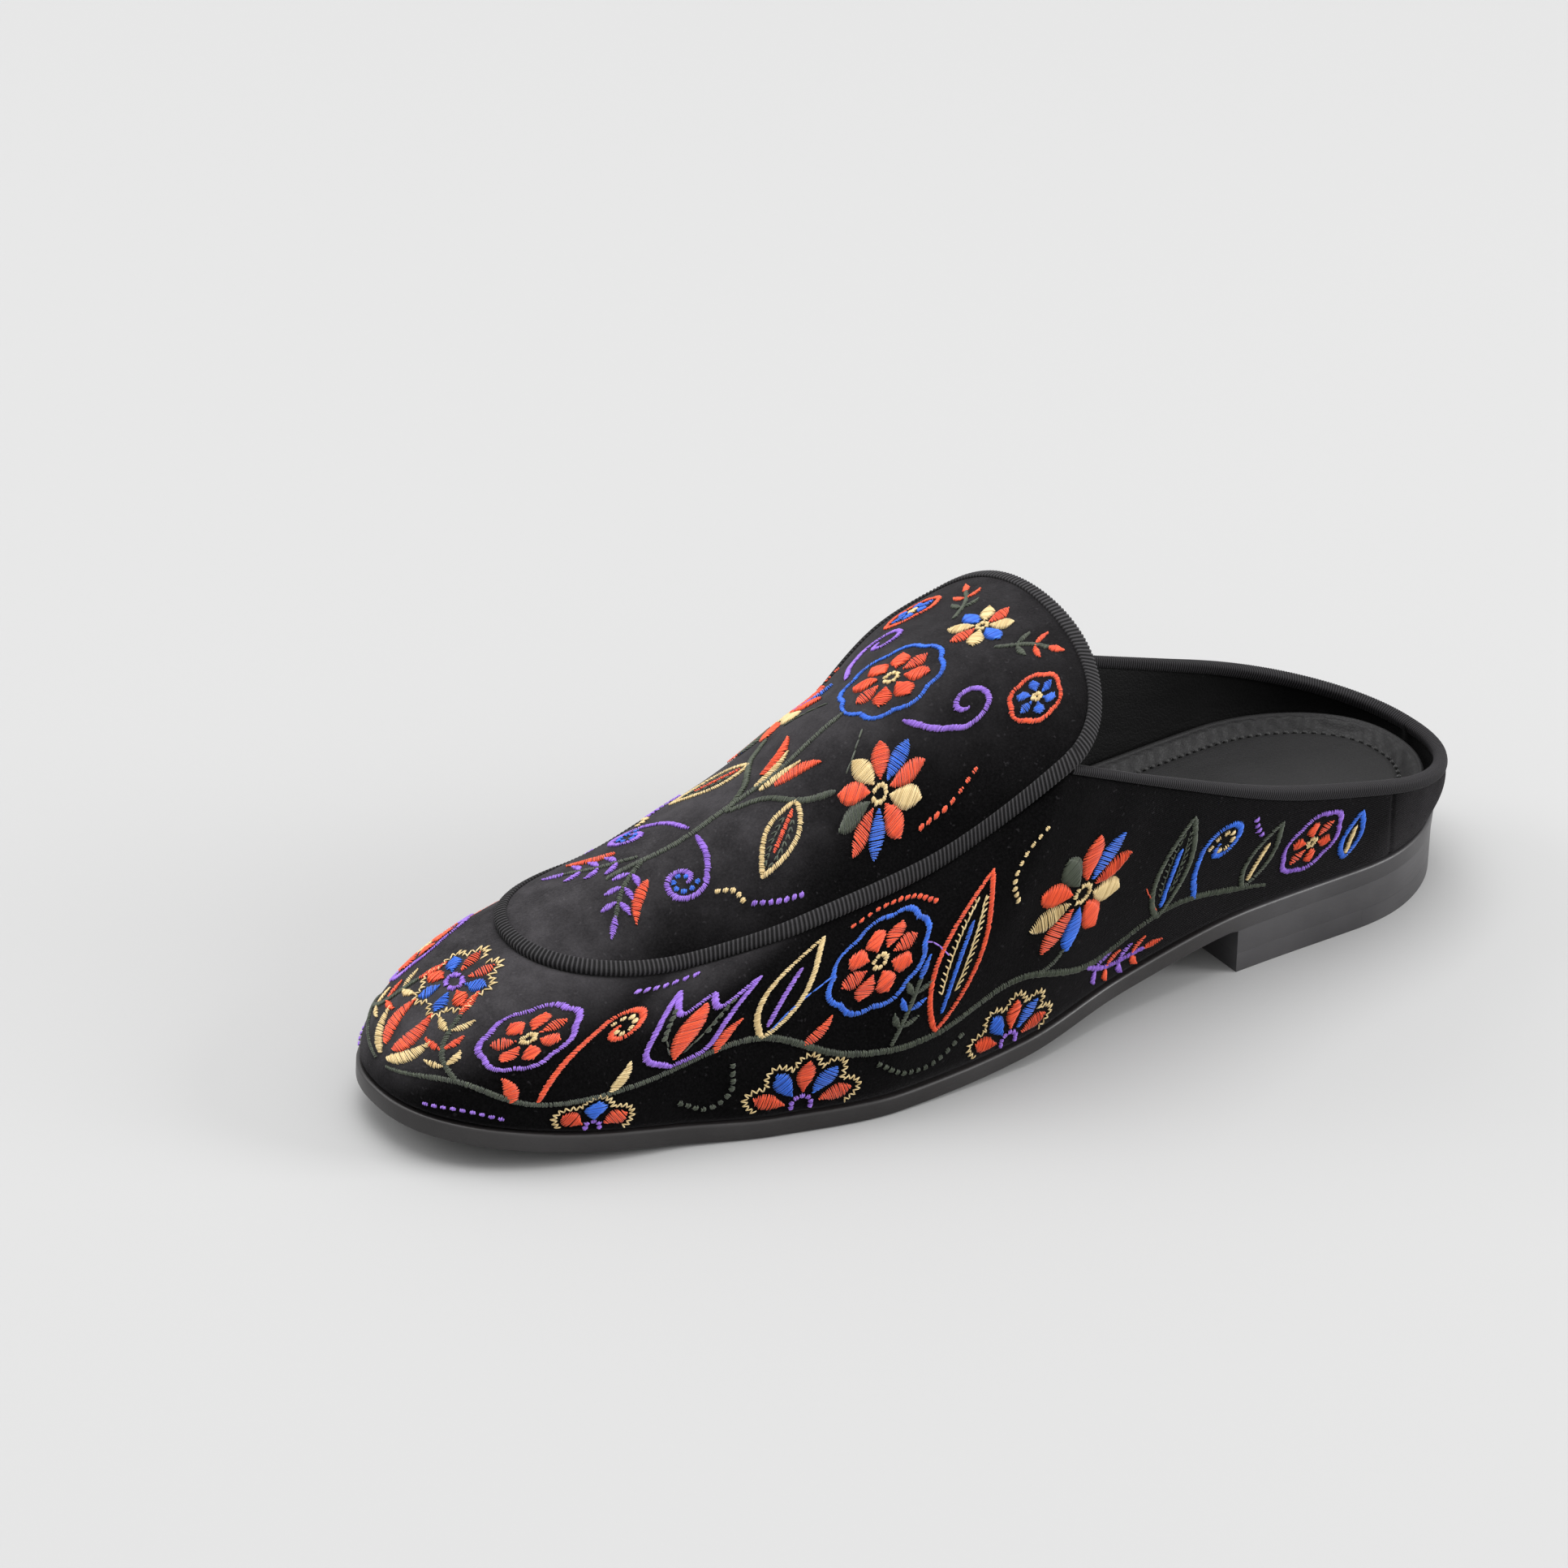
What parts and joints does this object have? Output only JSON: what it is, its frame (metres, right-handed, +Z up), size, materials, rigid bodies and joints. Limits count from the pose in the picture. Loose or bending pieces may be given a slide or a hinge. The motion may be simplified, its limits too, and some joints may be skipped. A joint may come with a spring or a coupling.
{
  "type": "slip-on mule",
  "caption": "Left slip-on mule with a hollow velvet upper, raised apron and tongue, ribbon bindings, leather sock lining, thin outsole with arch and toe spring, and a low stacked heel.",
  "frame": {"origin": "middle of the shoe's footprint, on the floor", "axes": "+X to the toe, +Y to the outer side of the foot, +Z up from the floor"},
  "size_m": [0.2728, 0.0826, 0.0878],
  "materials": {
    "velvet": "black cotton velvet with embroidery",
    "ribbon": "black ribbed ribbon",
    "sock_leather": "soft black lining leather",
    "sole": "black dyed sole leather, satin",
    "heel": "black stacked leather, painted",
    "lift_rubber": "black ribbed rubber",
    "nail_brass": "brushed"
  },
  "bodies": {
    "root": {"upper": "velvet", "apron_binding": "ribbon", "collar_binding": "ribbon", "sock_lining": "sock_leather", "outsole": "sole", "heel_block": "heel", "heel_lift_front": "sole", "heel_lift_rear": "lift_rubber", "heel_nail_1": "nail_brass", "heel_nail_2": "nail_brass", "heel_nail_3": "nail_brass", "heel_nail_4": "nail_brass", "heel_nail_5": "nail_brass"}
  },
  "joints": []
}
